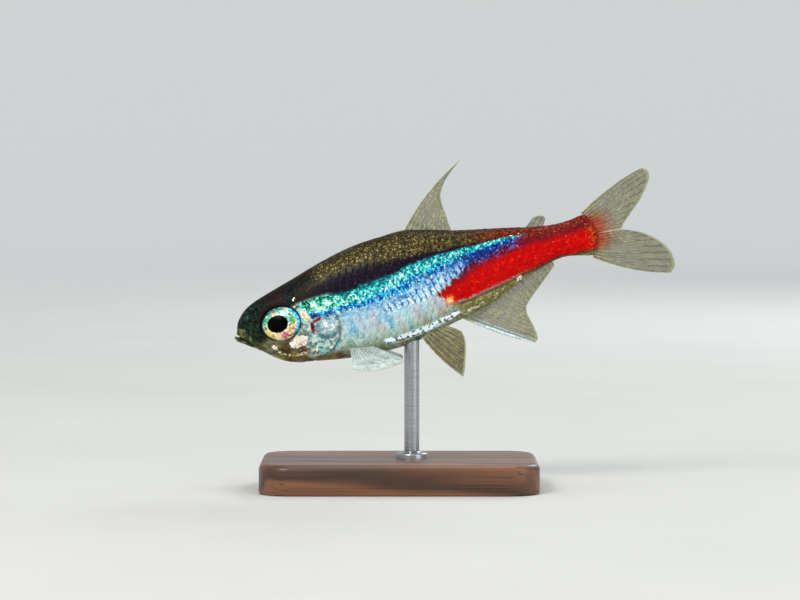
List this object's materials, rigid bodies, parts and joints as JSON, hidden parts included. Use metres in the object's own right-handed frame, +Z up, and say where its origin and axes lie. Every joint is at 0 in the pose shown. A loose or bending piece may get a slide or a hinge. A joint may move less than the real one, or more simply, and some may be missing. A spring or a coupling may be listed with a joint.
{
  "type": "neon tetra model",
  "caption": "Life-size still model of a neon tetra swimming head down, with raised fin rays, on a flat base with one short rod.",
  "frame": {"origin": "centre of the underside of the stand's base, on the surface that it stands on", "axes": "+Z up, the fish faces -X with its head down, its left side towards -Y"},
  "size_m": [0.0351, 0.014, 0.026],
  "materials": {
    "head_skin": "wet gloss over olive, silver and gold",
    "flank_skin": "iridescent scales, olive back, turquoise stripe, silver belly",
    "tail_skin": "satin scales, saturated red",
    "gill_plate": "pearly silver",
    "eye": "clear gloss over a silver and gold iris",
    "fin": "translucent membrane with pale rays",
    "wood": "satin walnut",
    "steel": "satin"
  },
  "bodies": {
    "root": {"head": "head_skin", "lower_jaw": "head_skin", "gill_cover_left": "gill_plate", "gill_cover_right": "gill_plate", "eye_left": "eye", "eye_right": "eye", "trunk": "flank_skin", "tail_stalk": "tail_skin", "dorsal_fin": "fin", "adipose_fin": "fin", "anal_fin": "fin", "caudal_fin_upper": "fin", "caudal_fin_lower": "fin", "pectoral_fin_left": "fin", "pectoral_fin_right": "fin", "pelvic_fin_left": "fin", "pelvic_fin_right": "fin", "stand_base": "wood", "stand_rod": "steel"}
  },
  "joints": []
}
